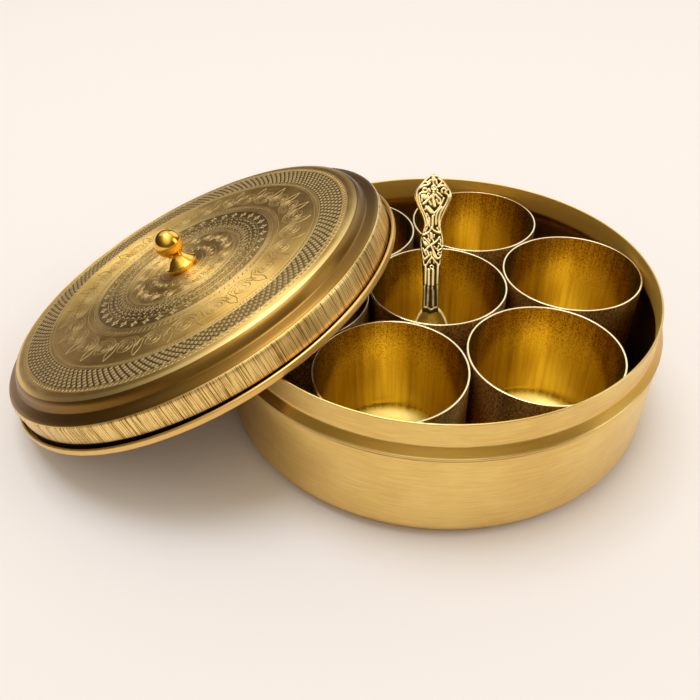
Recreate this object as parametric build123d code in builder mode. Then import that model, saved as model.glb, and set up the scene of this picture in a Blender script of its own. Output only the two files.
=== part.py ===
# Round brass spice box: a stepped box with seven loose cups, a domed two-step lid
# that leans beside it with its knob, and a cast spoon standing in the middle cup.
# Millimetres, +Z up. The origin is the middle of the box's foot, on the table.
# The photo looks from -Y, so the lid leans towards -X.
import math
import os
from build123d import *

os.makedirs("parts", exist_ok=True)

# Driving dimensions.
collar_r = 101.0        # outside of the upright collar the lid slides over
collar_top = 63.0       # height of the box's rim
shoulder_top = 51.8     # where the collar meets the sloping shoulder
shoulder_low = 47.8     # where the shoulder meets the bead
bead_r = 104.2
body_r = 103.7
groove_z = 46.4         # fine turned line under the bead
foot_round = 7.0        # rounding between the wall and the flat foot
box_wall = 1.0
box_floor = 1.4

cup_r = 33.0
cup_wall = 0.9
cup_rim_z = 57.0
cup_floor = 1.5
cup_round_out = 5.0
cup_round_in = 8.0
cup_ring_r = 66.6       # distance of the six outer cups from the middle
cup_first_angle = 15.0  # the right-hand cup, seen from the front
seat_gap = 0.1          # every loose piece stands this far off what it rests on

lean = 22.25            # tilt of the leaning lid
lid_offset = 118.0      # middle of the lid's foot, measured towards -X
skirt_r = 102.7         # outside of the lid's upright skirt
ledge_z = 15.2          # outer edge of the flat ledge between the two tiers
ledge_round = 1.3       # rounding between the skirt and the ledge
tier_r = 96.2           # inner corner between the ledge and the upper tier's wall
tier_z = 16.2
brow_r = 95.2           # top of the upper tier's wall
brow_z = 19.6
margin_r = 94.0         # outer edge of the plate's sloping margin
margin_z = 20.7
plate_r = 90.6
plate_z = 21.4          # height of the flat engraved plate over the foot
lid_wall = 0.9
ring_r = 105.4          # outside of the turned-up rim ring
ring_h = 3.3
ring_wall = 1.6
ring_edge = 0.9         # rounding of the ring's lower edge, the part on the table

knob_foot_r = 8.4
knob_foot_h = 1.9
knob_neck_r = 3.6
knob_ball_r = 7.1
knob_ball_z = 13.4      # middle of the ball over the plate
screw_r = 1.9
screw_head_r = 3.6
washer_r = 6.5
washer_h = 0.8

spoon_lean = 47.5       # the spoon's angle over the table
spoon_turn = 94.0       # direction its handle points to, seen from above
spoon_foot = (-0.4, -18.5, 4.45)
bowl_half = 22.0        # half the bowl's length
bowl_mid = 21.7
bowl_w = 10.2           # half the bowl's width
bowl_deep = 5.0
bowl_wall = 0.9
handle_start = 41.5
handle_t = 0.9          # half the handle's thickness
relief = 0.55           # height of the handle's raised border and ornament
border = 1.3
flute_x = 1.15          # the two ribs that part the handle's flutes
flute_s = 51.5
flute_l = 19.0
flute_w = 0.9
rosette_s = 73.5
scroll_x = 5.2          # the two scrolls in the head
scroll_s = 101.4
scroll_r = 2.1
scroll_hole = 1.2
# Raised drops and leaves: across, along, half width, half length and tilt.
drops = [(0, rosette_s, 0.7, 1.9, 0), (0, 86.0, 0.9, 3.6, 0), (0, 94.5, 2.2, 3.6, 0),
         (0, 104.6, 1.5, 3.0, 0), (-3.1, 66.5, 0.8, 2.2, 0), (3.1, 66.5, 0.8, 2.2, 0),
         (-3.6, 80.2, 0.8, 2.2, 0), (3.6, 80.2, 0.8, 2.2, 0), (-4.2, 93.6, 0.8, 3.6, 18),
         (4.2, 93.6, 0.8, 3.6, -18)]


def save(part, label):
    part.label = label
    export_step(part, "parts/" + label + ".step")


# Box.
def box_outline(inset):
    # Half section of the box's outside, or of its hollow when inset is the wall.
    z0 = 0.0
    top = collar_top
    if inset > 0:
        z0 = box_floor
        top = collar_top + 1.0
    r = body_r - inset
    low = z0 + max(foot_round - inset, 2.0)
    round_r = low - z0
    slope = inset * 0.45
    Line((0, z0), (r - round_r, z0))
    CenterArc((r - round_r, low), round_r, 270, 90)
    if inset > 0:
        Polyline((r, low), (r, shoulder_low - slope), (collar_r - inset, shoulder_top - slope),
                 (collar_r - inset, top), (0, top))
    else:
        Polyline((r, low), (r, groove_z - 0.45), (r - 0.35, groove_z), (r, groove_z + 0.45))
        Spline((r, groove_z + 0.45), (bead_r, groove_z + 0.95), (bead_r - 0.3, shoulder_low))
        Polyline((bead_r - 0.3, shoulder_low), (collar_r, shoulder_top), (collar_r, top - 0.3),
                 (collar_r - 0.3, top), (0, top))
    Line((0, top), (0, z0))


with BuildPart() as box_body:
    with BuildSketch(Plane.XZ):
        with BuildLine():
            box_outline(0)
        make_face()
    revolve(axis=Axis.Z)
    with BuildSketch(Plane.XZ):
        with BuildLine():
            box_outline(box_wall)
        make_face()
    revolve(axis=Axis.Z, mode=Mode.SUBTRACT)
save(box_body.part, "box_body")


# Cups.
def make_cup(cx, cy, label):
    side = Plane(origin=(cx, cy, 0), x_dir=(1, 0, 0), z_dir=(0, -1, 0))
    bottom = box_floor + seat_gap
    inner = cup_r - cup_wall
    floor_z = bottom + cup_floor
    flat_out = cup_r - cup_round_out
    flat_in = inner - cup_round_in
    with BuildPart() as cup:
        with BuildSketch(side):
            with BuildLine():
                Line((0, bottom), (flat_out, bottom))
                CenterArc((flat_out, bottom + cup_round_out), cup_round_out, 270, 90)
                Polyline((cup_r, bottom + cup_round_out), (cup_r, cup_rim_z - 0.25),
                         (cup_r - 0.25, cup_rim_z), (inner + 0.25, cup_rim_z),
                         (inner, cup_rim_z - 0.25), (inner, floor_z + cup_round_in))
                CenterArc((flat_in, floor_z + cup_round_in), cup_round_in, 270, 90)
                Polyline((flat_in, floor_z), (0, floor_z), (0, bottom))
            make_face()
        revolve(axis=Axis((cx, cy, 0), (0, 0, 1)))
    save(cup.part, label)


make_cup(0, 0, "cup_center")
outer_cups = ["cup_right", "cup_back", "cup_back_left", "cup_left", "cup_front_left",
              "cup_front_right"]
for step, label in enumerate(outer_cups):
    angle = math.radians(cup_first_angle + 60 * step)
    make_cup(cup_ring_r * math.cos(angle), cup_ring_r * math.sin(angle), label)

# Lid, drawn on its own tilted section plane.
tilt = math.radians(lean)
lid_foot_z = (ring_r - ring_edge) * math.sin(tilt) + ring_edge * (1 - math.cos(tilt)) + 0.04
lid_foot = (-lid_offset, 0, lid_foot_z)
lid_side = Plane(origin=lid_foot, x_dir=(math.cos(tilt), 0, math.sin(tilt)), z_dir=(0, -1, 0))
lid_axis = Axis(lid_foot, (-math.sin(tilt), 0, math.cos(tilt)))


def lid_outline(inset):
    # The lid's outside, or its hollow when inset is the sheet's thickness.
    r = skirt_r - inset
    foot = 0.0
    if inset > 0:
        foot = -1.0
    ledge = ledge_z - inset
    top = plate_z - inset
    Line((0, foot), (r, foot))
    Line((r, foot), (r, ledge - ledge_round))
    CenterArc((r - ledge_round, ledge - ledge_round), ledge_round, 0, 90)
    Polyline((r - ledge_round, ledge), (tier_r - inset, tier_z - inset),
             (brow_r - inset, brow_z - inset * 0.6), (margin_r - inset * 0.6, margin_z - inset),
             (plate_r, top), (0, top), (0, foot))


with BuildPart() as lid_shell:
    with BuildSketch(lid_side):
        with BuildLine():
            lid_outline(0)
        make_face()
    revolve(axis=lid_axis)
    with BuildSketch(lid_side):
        with BuildLine():
            lid_outline(lid_wall)
        make_face()
    revolve(axis=lid_axis, mode=Mode.SUBTRACT)
    # Hole for the knob's screw.
    with BuildSketch(lid_side):
        with BuildLine():
            Polyline((0, plate_z - 3), (screw_r + 0.3, plate_z - 3), (screw_r + 0.3, plate_z + 1),
                     (0, plate_z + 1), (0, plate_z - 3))
        make_face()
    revolve(axis=lid_axis, mode=Mode.SUBTRACT)
save(lid_shell.part, "lid_shell")

# Turned-up ring round the skirt's foot, leaving a narrow open gutter.
ring_in = skirt_r + 0.04
with BuildPart() as lid_ring:
    with BuildSketch(lid_side):
        with BuildLine():
            Line((ring_in, 0), (ring_r - ring_edge, 0))
            CenterArc((ring_r - ring_edge, ring_edge), ring_edge, 270, 90)
            Line((ring_r, ring_edge), (ring_r - 0.15, ring_h - 0.4))
            ThreePointArc((ring_r - 0.15, ring_h - 0.4), (ring_r - ring_wall / 2 - 0.1, ring_h),
                          (ring_r - ring_wall, ring_h - 0.4))
            Polyline((ring_r - ring_wall, ring_h - 0.4), (ring_r - ring_wall, 0.9),
                     (ring_in, 0.9), (ring_in, 0))
        make_face()
    revolve(axis=lid_axis)
save(lid_ring.part, "lid_ring")

# Knob with its screw and washer.
knob_base = plate_z + 0.02
ball_z = knob_base + knob_ball_z
neck_z = ball_z - math.sqrt(knob_ball_r ** 2 - knob_neck_r ** 2)
bore_top = knob_base + 9.0
with BuildPart() as knob:
    with BuildSketch(lid_side):
        with BuildLine():
            bore = screw_r + 0.05
            Polyline((bore, knob_base), (knob_foot_r, knob_base),
                     (knob_foot_r, knob_base + knob_foot_h),
                     (knob_foot_r - 0.5, knob_base + knob_foot_h + 0.35))
            Spline((knob_foot_r - 0.5, knob_base + knob_foot_h + 0.35),
                   (knob_neck_r + 1.4, knob_base + 4.6), (knob_neck_r, neck_z),
                   tangents=((-0.75, 0.7), (-0.12, 1)))
            start = math.degrees(math.atan2(neck_z - ball_z, knob_neck_r))
            CenterArc((0, ball_z), knob_ball_r, start, 90 - start)
            Polyline((0, ball_z + knob_ball_r), (0, bore_top), (bore, bore_top), (bore, knob_base))
        make_face()
    revolve(axis=lid_axis)
save(knob.part, "knob")

under = plate_z - lid_wall - 0.02
with BuildPart() as knob_washer:
    with BuildSketch(lid_side):
        with BuildLine():
            Polyline((screw_r + 0.2, under - washer_h), (washer_r, under - washer_h),
                     (washer_r, under - 0.2), (washer_r - 0.2, under), (screw_r + 0.2, under),
                     (screw_r + 0.2, under - washer_h))
        make_face()
    revolve(axis=lid_axis)
save(knob_washer.part, "knob_washer")

head_top = under - washer_h - 0.02
with BuildPart() as knob_screw:
    with BuildSketch(lid_side):
        with BuildLine():
            Line((0, head_top - 2.0), (screw_head_r - 1.0, head_top - 2.0))
            ThreePointArc((screw_head_r - 1.0, head_top - 2.0),
                          (screw_head_r - 0.2, head_top - 1.2), (screw_head_r, head_top))
            Polyline((screw_head_r, head_top), (screw_r, head_top), (screw_r, bore_top - 1.0),
                     (screw_r - 0.5, bore_top - 0.5), (0, bore_top - 0.5), (0, head_top - 2.0))
        make_face()
    revolve(axis=lid_axis)
    # Driver slot across the head.
    slot = Plane(origin=lid_side.from_local_coords((0, head_top - 2.0, 0)),
                 x_dir=lid_side.x_dir, z_dir=lid_axis.direction)
    with BuildSketch(slot):
        Rectangle(2 * screw_head_r + 1, 0.8)
    extrude(amount=0.9, mode=Mode.SUBTRACT)
save(knob_screw.part, "knob_screw")

# Spoon.
# Half widths along the handle, from the bowl's neck to the tip.
handle_points = [(handle_start, 3.95), (51.0, 3.95), (60.5, 4.4), (65.7, 4.85), (69.3, 5.35),
                 (74.5, 6.0), (78.6, 5.7), (83.8, 4.4), (87.4, 5.0), (91.0, 6.5), (95.2, 8.4),
                 (100.6, 9.7), (105.6, 7.1), (108.6, 4.3), (111.3, 0.0)]
s_lean = math.radians(spoon_lean)
s_turn = math.radians(spoon_turn)
along = (math.cos(s_lean) * math.cos(s_turn), math.cos(s_lean) * math.sin(s_turn),
         math.sin(s_lean))
across = (math.sin(s_turn), -math.cos(s_turn), 0)
face = (-math.sin(s_lean) * math.cos(s_turn), -math.sin(s_lean) * math.sin(s_turn),
        math.cos(s_lean))
spoon_plane = Plane(origin=spoon_foot, x_dir=across, z_dir=face)


def handle_line(trim, start):
    # Closed outline of the handle, drawn in by trim all round.
    right = []
    for s, w in handle_points:
        if w > trim:
            right.append((w - trim, max(s, start)))
    tip = handle_points[-1][0] - trim * 1.3
    left = [(-w, s) for w, s in reversed(right)]
    Spline(*right, (0, tip))
    Spline((0, tip), *left)
    Line(left[-1], right[0])


bowl_round = (bowl_w ** 2 + bowl_deep ** 2) / (2 * bowl_deep)
bowl_up = bowl_round - bowl_deep
bowl_long = bowl_half / math.sqrt(1 - (bowl_up / bowl_round) ** 2)
bowl_axis = Axis(spoon_plane.from_local_coords((0, bowl_mid, bowl_up)), along)
bowl_side = Plane(origin=spoon_plane.from_local_coords((0, bowl_mid, bowl_up)), x_dir=along,
                  z_dir=face)

with BuildPart() as spoon:
    with BuildSketch(bowl_side):
        Ellipse(bowl_long, bowl_round)
        Rectangle(3 * bowl_long, bowl_round * 2, align=(Align.CENTER, Align.MIN),
                  mode=Mode.INTERSECT)
    revolve(axis=bowl_axis)
    with BuildSketch(bowl_side):
        Ellipse(bowl_long - bowl_wall, bowl_round - bowl_wall)
        Rectangle(3 * bowl_long, bowl_round * 2, align=(Align.CENTER, Align.MIN),
                  mode=Mode.INTERSECT)
    revolve(axis=bowl_axis, mode=Mode.SUBTRACT)
    with BuildSketch(spoon_plane):
        with Locations((0, bowl_mid)):
            Rectangle(4 * bowl_round, 4 * bowl_long)
    extrude(amount=4 * bowl_round, mode=Mode.SUBTRACT)
    # Flat bar of the handle, with a raised border.
    with BuildSketch(spoon_plane.offset(-handle_t)):
        with BuildLine():
            handle_line(0, handle_start)
        make_face()
    extrude(amount=2 * handle_t)
    with BuildSketch(spoon_plane.offset(handle_t)):
        with BuildLine():
            handle_line(0, handle_start)
        make_face()
        with BuildLine():
            handle_line(border, handle_start + border)
        make_face(mode=Mode.SUBTRACT)
    extrude(amount=relief)
    # Ribs between the flutes, a middle rosette and the head's scrolls and drops.
    with BuildSketch(spoon_plane.offset(handle_t)):
        for x in (-flute_x, flute_x):
            with Locations((x, flute_s)):
                SlotOverall(flute_l, flute_w, rotation=90)
    extrude(amount=relief)
    with BuildSketch(spoon_plane.offset(handle_t)):
        with Locations((0, rosette_s)):
            Ellipse(2.6, 4.2)
            Ellipse(1.5, 2.9, mode=Mode.SUBTRACT)
        for x in (-scroll_x, scroll_x):
            with Locations((x, scroll_s)):
                Circle(scroll_r)
                Circle(scroll_hole, mode=Mode.SUBTRACT)
        for x, s, half_w, half_l, turn in drops:
            with Locations((x, s)):
                Ellipse(half_w, half_l, rotation=turn)
    extrude(amount=relief)
save(spoon.part, "spoon")
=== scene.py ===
# Brass spice box with its lid leaning beside it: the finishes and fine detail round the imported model.
# Sizes in the dictionaries are millimetres, but for points picked on a crop of the photo, which are its
# pixels. Meshes are metres, in the model's own frame.
import math

import bmesh
import bpy
import numpy as np
from mathutils import Matrix, Vector


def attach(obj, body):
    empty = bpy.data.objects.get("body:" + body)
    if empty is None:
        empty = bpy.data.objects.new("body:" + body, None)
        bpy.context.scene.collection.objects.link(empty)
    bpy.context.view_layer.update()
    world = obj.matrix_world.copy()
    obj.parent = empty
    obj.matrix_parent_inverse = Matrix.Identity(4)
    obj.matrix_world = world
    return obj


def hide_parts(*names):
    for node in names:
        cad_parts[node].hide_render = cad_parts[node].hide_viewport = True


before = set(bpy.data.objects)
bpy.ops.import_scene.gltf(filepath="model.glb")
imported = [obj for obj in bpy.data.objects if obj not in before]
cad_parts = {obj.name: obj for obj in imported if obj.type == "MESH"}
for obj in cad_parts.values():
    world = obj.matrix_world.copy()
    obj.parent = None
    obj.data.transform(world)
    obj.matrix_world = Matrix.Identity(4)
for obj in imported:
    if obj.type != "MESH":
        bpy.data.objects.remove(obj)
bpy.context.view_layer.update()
mm = 0.001
print("frame loaded:", len(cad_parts), "nodes")


def addNode(tree, kind, inputs=None, **settings):
    # A link may be given as a socket or as a node, which stands for its first output.
    node = tree.nodes.new(kind)
    for key, value in settings.items():
        setattr(node, key, value)
    for key, value in (inputs or {}).items():
        if isinstance(value, bpy.types.Node):
            value = value.outputs[0]
        if isinstance(value, bpy.types.NodeSocket):
            tree.links.new(value, node.inputs[key])
        else:
            node.inputs[key].default_value = value
    return node


def linearColour(hexCode):
    # sRGB hex to the linear values that the shaders take.
    values = []
    for i in (0, 2, 4):
        c = int(hexCode[i:i + 2], 16) / 255
        values.append(c / 12.92 if c <= 0.04045 else ((c + 0.055) / 1.055) ** 2.4)
    return (*values, 1.0)


# Camera, where the photo was taken from: the fit gave its place, its view and a 36.75 mm lens.
camera = {
    "place": (0.0, -287.65, 250.17),
    "looking": (-0.115311, 0.765468, -0.633057),
    "right": (0.991239, 0.129996, -0.023368),
    "lens": 36.751,
}


def makeCamera():
    data = bpy.data.cameras.new("view")
    data.lens = camera["lens"]
    data.sensor_width = 36.0
    data.clip_start = 0.01
    data.clip_end = 50.0
    looking = Vector(camera["looking"]).normalized()
    right = Vector(camera["right"]).normalized()
    up = right.cross(looking)
    holder = bpy.data.objects.new("view", data)
    turn = Matrix((right, up, -looking)).transposed().to_4x4()
    holder.matrix_world = Matrix.Translation(Vector(camera["place"]) * mm) @ turn
    bpy.context.scene.collection.objects.link(holder)
    bpy.context.scene.camera = holder


makeCamera()
bpy.context.scene.view_settings.view_transform = "Standard"

# Studio: pale floor, one large soft box overhead, a weaker one at the right, and a dark left side.
studio = {
    "floor": "F6F1EC",
    "sky": "FFEED8",
    "lamps": "E0EDFF",
    "glow": "FFEFD6",
    "dark": "6B4820",
    "skyStrength": 0.72,
    # What the metal mirrors is darker low down and brighter overhead than what lights the floor.
    "mirrored": ((0.02, 0.14), (0.35, 0.2), (0.62, 0.36), (0.85, 0.8), (1.0, 1.9)),
    "darkSide": {"from": -0.3, "to": -0.8, "left": 0.45},
    # Soft boxes that only the metal sees: which way they stand, their soft edge and their strength.
    "softBoxes": (
        {"toward": (-0.46, 0.52, 0.72), "edge": (0.86, 0.965), "strength": 0.8},
        {"toward": (0.33, 0.78, 0.53), "edge": (0.88, 0.96), "strength": 1.2},
        {"toward": (0.1, -0.6, 0.79), "edge": (0.82, 0.96), "strength": 0.5},
    ),
    "overhead": {"place": (-0.45, 0.35, 2.6), "size": (1.3, 1.3), "power": 31.0},
    "side": {"place": (2.4, 0.1, 1.4), "size": (1.3, 1.6), "power": 14.0},
}


def makeStudio():
    world = bpy.data.worlds.new("studio")
    bpy.context.scene.world = world
    world.use_nodes = True
    tree = world.node_tree
    tree.nodes.clear()
    path = addNode(tree, "ShaderNodeLightPath")
    coords = addNode(tree, "ShaderNodeTexCoord")
    height = addNode(tree, "ShaderNodeSeparateXYZ", {0: coords.outputs["Generated"]})
    ramp = addNode(tree, "ShaderNodeValToRGB", {0: height.outputs["Z"]})
    stops = ramp.color_ramp.elements
    brightest = studio["mirrored"][-1][1]
    for i, (rise, strength) in enumerate(studio["mirrored"]):
        stop = stops[i] if i < 2 else stops.new(rise)
        stop.position = rise
        warm = min(1.0, strength / studio["mirrored"][2][1])
        tone = [d + (s - d) * warm for d, s in zip(linearColour(studio["dark"]),
                                                   linearColour(studio["glow"]))]
        brightness = strength / brightest / max(tone[:3])
        stop.color = (*(c * brightness for c in tone[:3]), 1.0)
    soft = addNode(tree, "ShaderNodeBackground", {0: linearColour(studio["sky"]), 1: studio["skyStrength"]})
    glow = 0.0
    for softBox in studio["softBoxes"]:
        near = addNode(tree, "ShaderNodeVectorMath", {0: coords.outputs["Generated"],
                                                      1: Vector(softBox["toward"]).normalized()},
                       operation="DOT_PRODUCT")
        panel = addNode(tree, "ShaderNodeMapRange",
                        {0: near.outputs["Value"], 1: softBox["edge"][0], 2: softBox["edge"][1], 3: 0.0,
                         4: softBox["strength"]}, interpolation_type="SMOOTHSTEP")
        glow = addNode(tree, "ShaderNodeMath", {0: panel, 1: glow}, operation="ADD")
    darkSide = studio["darkSide"]
    shade = addNode(tree, "ShaderNodeMapRange",
                    {0: height.outputs["X"], 1: darkSide["from"], 2: darkSide["to"], 3: brightest,
                     4: brightest * darkSide["left"]}, interpolation_type="SMOOTHSTEP")
    gradient = addNode(tree, "ShaderNodeBackground", {0: ramp, 1: shade})
    glare = addNode(tree, "ShaderNodeBackground", {0: linearColour(studio["lamps"]), 1: glow})
    mirrored = addNode(tree, "ShaderNodeAddShader", {0: gradient, 1: glare})
    plain = addNode(tree, "ShaderNodeBackground", {0: linearColour(studio["floor"]), 1: 1.0})
    lit = addNode(tree, "ShaderNodeMixShader", {0: path.outputs["Is Glossy Ray"], 1: soft, 2: mirrored})
    light = addNode(tree, "ShaderNodeMixShader", {0: path.outputs["Is Camera Ray"], 1: lit, 2: plain})
    addNode(tree, "ShaderNodeOutputWorld", {0: light})
    for name in ("overhead", "side"):
        spec = studio[name]
        data = bpy.data.lights.new(name, "AREA")
        data.shape = "RECTANGLE"
        data.size, data.size_y = spec["size"]
        data.energy = spec["power"]
        data.color = linearColour(studio["lamps"])[:3]
        lamp = bpy.data.objects.new(name, data)
        place = Vector(spec["place"])
        lamp.location = place
        aim = Vector((-0.03, 0.0, 0.03)) - place
        lamp.rotation_euler = aim.to_track_quat("-Z", "Y").to_euler()
        bpy.context.scene.collection.objects.link(lamp)


def makeFloor():
    mesh = bpy.data.meshes.new("floor")
    half = 6.0
    mesh.from_pydata([(-half, -half, 0), (half, -half, 0), (half, half, 0), (-half, half, 0)],
                     [], [(0, 1, 2, 3)])
    floor = bpy.data.objects.new("floor", mesh)
    bpy.context.scene.collection.objects.link(floor)
    paper = bpy.data.materials.new("matt studio paper")
    paper.use_nodes = True
    tree = paper.node_tree
    shader = tree.nodes["Principled BSDF"]
    shader.inputs["Base Color"].default_value = linearColour(studio["floor"])
    shader.inputs["Roughness"].default_value = 0.9
    shader.inputs["Specular IOR Level"].default_value = 0.1
    mesh.materials.append(paper)


makeStudio()
makeFloor()
print("studio ready")

# Lid. Its foot is the middle of its open side. Its finish and its engraving need its place too.
lid = {
    "foot": (-118.0, 0.0, 39.674), "lean": 22.25, "skirtR": 102.7, "sheet": 0.9, "plateZ": 21.4,
    "boreR": 2.1, "ringR": 105.4, "ringH": 3.3, "ringEdge": 0.9, "steps": 256,
}


def startTree(name, inputs, output):
    # Geometry Nodes tree with a socket for each named input, given with its kind, and one for its result.
    tree = bpy.data.node_groups.new(name, "GeometryNodeTree")
    for label, kind in inputs.items():
        tree.interface.new_socket(label, in_out="INPUT", socket_type="NodeSocket" + kind)
    tree.interface.new_socket(output, in_out="OUTPUT", socket_type="NodeSocketGeometry")
    return tree, addNode(tree, "NodeGroupInput")


def endTree(tree, given, shape, turned, output):
    # Stands the shape in its place, smooths it, gives it its finish and hands it out.
    stood = addNode(tree, "GeometryNodeTransform",
                    {"Geometry": shape, "Translation": given.outputs["Foot"], "Rotation": turned})
    smooth = addNode(tree, "GeometryNodeSetShadeSmooth", {"Geometry": stood, "Shade Smooth": True})
    real = addNode(tree, "GeometryNodeRealizeInstances", {"Geometry": smooth})
    finished = addNode(tree, "GeometryNodeSetMaterial",
                       {"Geometry": real, "Material": given.outputs["Finish"]})
    addNode(tree, "NodeGroupOutput", {output: finished})


# Turned pieces: one Geometry Nodes tree spins a half section round an axis.
def buildTurningTree():
    tree, given = startTree("turning", {
        "Section": "Geometry", "Steps round": "Int", "Hand wobble": "Float", "Foot": "Vector",
        "Lean": "Float", "Finish": "Material"}, "Shell")
    section = given.outputs["Section"]
    size = addNode(tree, "GeometryNodeAttributeDomainSize", {0: section}, component="MESH")
    columns = addNode(tree, "ShaderNodeMath", {0: given.outputs["Steps round"], 1: 1.0}, operation="ADD")
    grid = addNode(tree, "GeometryNodeMeshGrid", {"Size X": 1.0, "Size Y": 1.0, "Vertices X": columns,
                                                  "Vertices Y": size.outputs["Point Count"]})
    mapped = addNode(tree, "GeometryNodeStoreNamedAttribute",
                     {"Geometry": grid, "Name": "turnUV", "Value": grid.outputs["UV Map"]},
                     data_type="FLOAT2", domain="CORNER")
    place = addNode(tree, "ShaderNodeSeparateXYZ", {0: addNode(tree, "GeometryNodeInputPosition")})
    last = addNode(tree, "ShaderNodeMath", {0: size.outputs["Point Count"], 1: 1.0}, operation="SUBTRACT")
    share = addNode(tree, "ShaderNodeMath", {0: place.outputs["Y"], 1: 0.5}, operation="ADD")
    row = addNode(tree, "ShaderNodeMath", {0: share, 1: last}, operation="MULTIPLY")
    rowNumber = addNode(tree, "FunctionNodeFloatToInt", {0: row}, rounding_mode="ROUND")
    outline = addNode(tree, "GeometryNodeSampleIndex",
                      {"Geometry": section, "Value": addNode(tree, "GeometryNodeInputPosition"),
                       "Index": rowNumber}, data_type="FLOAT_VECTOR", domain="POINT")
    point = addNode(tree, "ShaderNodeSeparateXYZ", {0: outline})
    angle = addNode(tree, "ShaderNodeMath", {0: place.outputs["X"], 1: math.tau}, operation="MULTIPLY")
    cosine = addNode(tree, "ShaderNodeMath", {0: angle}, operation="COSINE")
    sine = addNode(tree, "ShaderNodeMath", {0: angle}, operation="SINE")
    # The sheet is never quite round: slow noise moves it in and out a little.
    direction = addNode(tree, "ShaderNodeCombineXYZ", {0: cosine, 1: sine, 2: point.outputs["Z"]})
    slow = addNode(tree, "ShaderNodeTexNoise", {"Vector": direction, "W": 3.0, "Scale": 2.6, "Detail": 1.0},
                   noise_dimensions="4D")
    centred = addNode(tree, "ShaderNodeMath", {0: slow, 1: 0.5}, operation="SUBTRACT")
    swing = addNode(tree, "ShaderNodeMath", {0: centred, 1: given.outputs["Hand wobble"]},
                    operation="MULTIPLY")
    swung = addNode(tree, "ShaderNodeMath", {0: swing, 1: point.outputs["X"], 2: point.outputs["X"]},
                    operation="MULTIPLY_ADD")
    x = addNode(tree, "ShaderNodeMath", {0: swung, 1: cosine}, operation="MULTIPLY")
    y = addNode(tree, "ShaderNodeMath", {0: swung, 1: sine}, operation="MULTIPLY")
    spun = addNode(tree, "ShaderNodeCombineXYZ", {0: x, 1: y, 2: point.outputs["Z"]})
    moved = addNode(tree, "GeometryNodeSetPosition", {"Geometry": mapped, "Position": spun})
    merged = addNode(tree, "GeometryNodeMergeByDistance", {"Geometry": moved, "Distance": 0.000002})
    turned = addNode(tree, "ShaderNodeCombineXYZ", {0: 0.0, 1: given.outputs["Lean"], 2: 0.0})
    endTree(tree, given, merged, turned, "Shell")
    return tree


turningTree = buildTurningTree()


def runTree(tree, name, mesh, values):
    # Gives the mesh the tree's modifier, sets its inputs and keeps the result as a plain mesh.
    piece = bpy.data.objects.new(name, mesh)
    bpy.context.scene.collection.objects.link(piece)
    modifier = piece.modifiers.new("shape", "NODES")
    modifier.node_group = tree
    for item in tree.interface.items_tree:
        if item.item_type == "SOCKET" and item.in_out == "INPUT" and item.name in values:
            modifier[item.identifier] = values[item.name]
    graph = bpy.context.evaluated_depsgraph_get()
    result = bpy.data.meshes.new_from_object(piece.evaluated_get(graph), preserve_all_data_layers=True,
                                             depsgraph=graph)
    piece.modifiers.clear()
    piece.data = result
    result.name = name
    return piece


def turnPiece(name, section, finish, steps=192, wobble=0.0, foot=(0, 0, 0), lean=0.0, sharp=35):
    mesh = bpy.data.meshes.new(name + " section")
    mesh.from_pydata([(r * mm, 0, z * mm) for r, z in section], [], [])
    piece = runTree(turningTree, name, mesh, {
        "Steps round": steps, "Hand wobble": wobble, "Foot": Vector(foot) * mm,
        "Lean": -math.radians(lean), "Finish": finish})
    piece.data.set_sharp_from_angle(angle=math.radians(sharp))
    return piece


def arc(centre, radius, fromDegrees, toDegrees, parts):
    points = []
    for i in range(parts + 1):
        a = math.radians(fromDegrees + (toDegrees - fromDegrees) * i / parts)
        points.append((centre[0] + radius * math.cos(a), centre[1] + radius * math.sin(a)))
    return points


def smoothLine(points, parts):
    # Catmull-Rom curve through the points.
    line = []
    ends = [points[0]] + points + [points[-1]]
    for i in range(1, len(ends) - 2):
        a, b, c, d = ends[i - 1:i + 3]
        for k in range(parts):
            t = k / parts
            line.append(tuple(0.5 * (2 * b[j] + (c[j] - a[j]) * t
                                     + (2 * a[j] - 5 * b[j] + 4 * c[j] - d[j]) * t * t
                                     + (3 * b[j] - a[j] - 3 * c[j] + d[j]) * t ** 3) for j in (0, 1)))
    line.append(points[-1])
    return line


# Finishes.
def startFinish(name, colour, roughness, metallic=1.0):
    finish = bpy.data.materials.new(name)
    finish.use_nodes = True
    shader = finish.node_tree.nodes["Principled BSDF"]
    shader.inputs["Base Color"].default_value = linearColour(colour)
    shader.inputs["Metallic"].default_value = metallic
    shader.inputs["Roughness"].default_value = roughness
    return finish, finish.node_tree, shader


def addTurnedCoords(tree, foot=(0, 0, 0), lean=0.0):
    # Distance from the piece's axis, height along it and the direction round it, in metres.
    coords = addNode(tree, "ShaderNodeTexCoord")
    centred = addNode(tree, "ShaderNodeMapping",
                      {"Vector": coords.outputs["Object"], "Location": Vector(foot) * mm,
                       "Rotation": (0.0, -math.radians(lean), 0.0)}, vector_type="TEXTURE")
    flat = addNode(tree, "ShaderNodeVectorMath", {0: centred, 1: (1.0, 1.0, 0.0)}, operation="MULTIPLY")
    reach = addNode(tree, "ShaderNodeVectorMath", {0: flat}, operation="LENGTH")
    around = addNode(tree, "ShaderNodeVectorMath", {0: flat}, operation="NORMALIZE")
    height = addNode(tree, "ShaderNodeSeparateXYZ", {0: centred})
    return reach.outputs["Value"], height.outputs["Z"], around.outputs["Vector"]


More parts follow.
